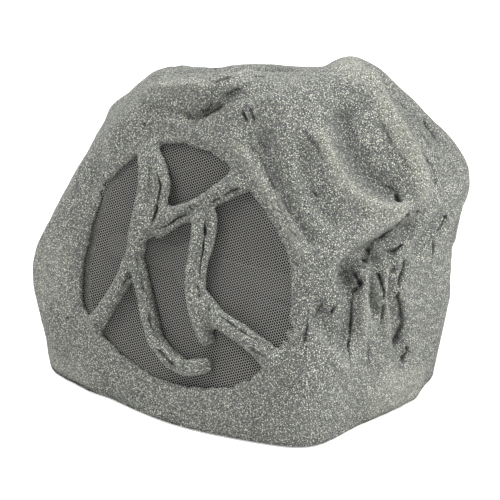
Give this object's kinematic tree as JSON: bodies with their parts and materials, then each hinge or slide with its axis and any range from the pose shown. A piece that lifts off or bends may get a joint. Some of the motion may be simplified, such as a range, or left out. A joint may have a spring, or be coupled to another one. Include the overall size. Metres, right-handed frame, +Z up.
{
  "type": "rock shaped garden speaker",
  "caption": "Hollow moulded rock with a perforated front opening crossed by moulded ribs, a sealed two way driver inside and a screwed base on rubber feet.",
  "frame": {"origin": "middle of the bounding box at the underside of the rubber feet, the surface that the rock stands on", "axes": "+Z up, -Y is the front with the perforated opening, +X to the right seen from the front"},
  "size_m": [0.4283, 0.3477, 0.3313],
  "materials": {
    "stone": "rough granite speckle on moulded resin",
    "grille_metal": "perforated, matt grey paint",
    "black_plastic": "matt",
    "rubber": "matt",
    "board": "sealed fibreboard, painted black",
    "screw_steel": "stainless",
    "basket_steel": "black coated",
    "plate_steel": "zinc plated",
    "magnet": "ground ferrite",
    "cone": "mineral filled polypropylene",
    "coil": "enamelled copper",
    "cloth": "impregnated cloth",
    "dome": "satin",
    "circuit_board": "solder mask",
    "capacitor": "wrapped film",
    "ceramic": "unglazed ceramic",
    "wire_light": "insulated wire",
    "wire_red": "insulated wire",
    "wire_blue": "insulated wire"
  },
  "bodies": {
    "rock": {"rock_shell": "stone", "grille": "grille_metal", "grille_strip": "rubber", "board_gasket": "rubber", "driver_board": "board", "board_screws": "screw_steel", "woofer_gasket": "rubber", "woofer_basket": "basket_steel", "woofer_surround": "rubber", "centring_ring": "cloth", "top_plate": "plate_steel", "woofer_magnet": "magnet", "pole_piece": "plate_steel", "woofer_screws": "screw_steel", "tweeter_bridge": "basket_steel", "tweeter_housing": "black_plastic", "tweeter_magnet": "magnet", "tweeter_dome": "dome", "bridge_screws": "screw_steel", "base_plate": "black_plastic", "base_gasket": "rubber", "base_screws": "screw_steel", "rubber_feet": "rubber", "foot_screws": "screw_steel", "cable_gland": "black_plastic", "gland_nut": "black_plastic", "terminal_strip": "ceramic", "crossover_board": "circuit_board", "standoffs": "black_plastic", "crossover_screws": "screw_steel", "chokes": "coil", "capacitors": "capacitor", "resistor": "ceramic", "input_leads": "wire_red", "woofer_leads": "wire_light", "tweeter_leads": "wire_blue"},
    "diaphragm": {"woofer_cone": "cone", "voice_coil": "coil", "dust_cap": "cone"}
  },
  "joints": [
    {"name": "cone_travel", "type": "slide", "parent": "rock", "child": "diaphragm", "axis": [0, -0.9659, 0.2588], "range_m": [-0.004, 0.004], "stiffness_N_per_m": 1400, "deforming": ["woofer_surround", "centring_ring"]}
  ]
}
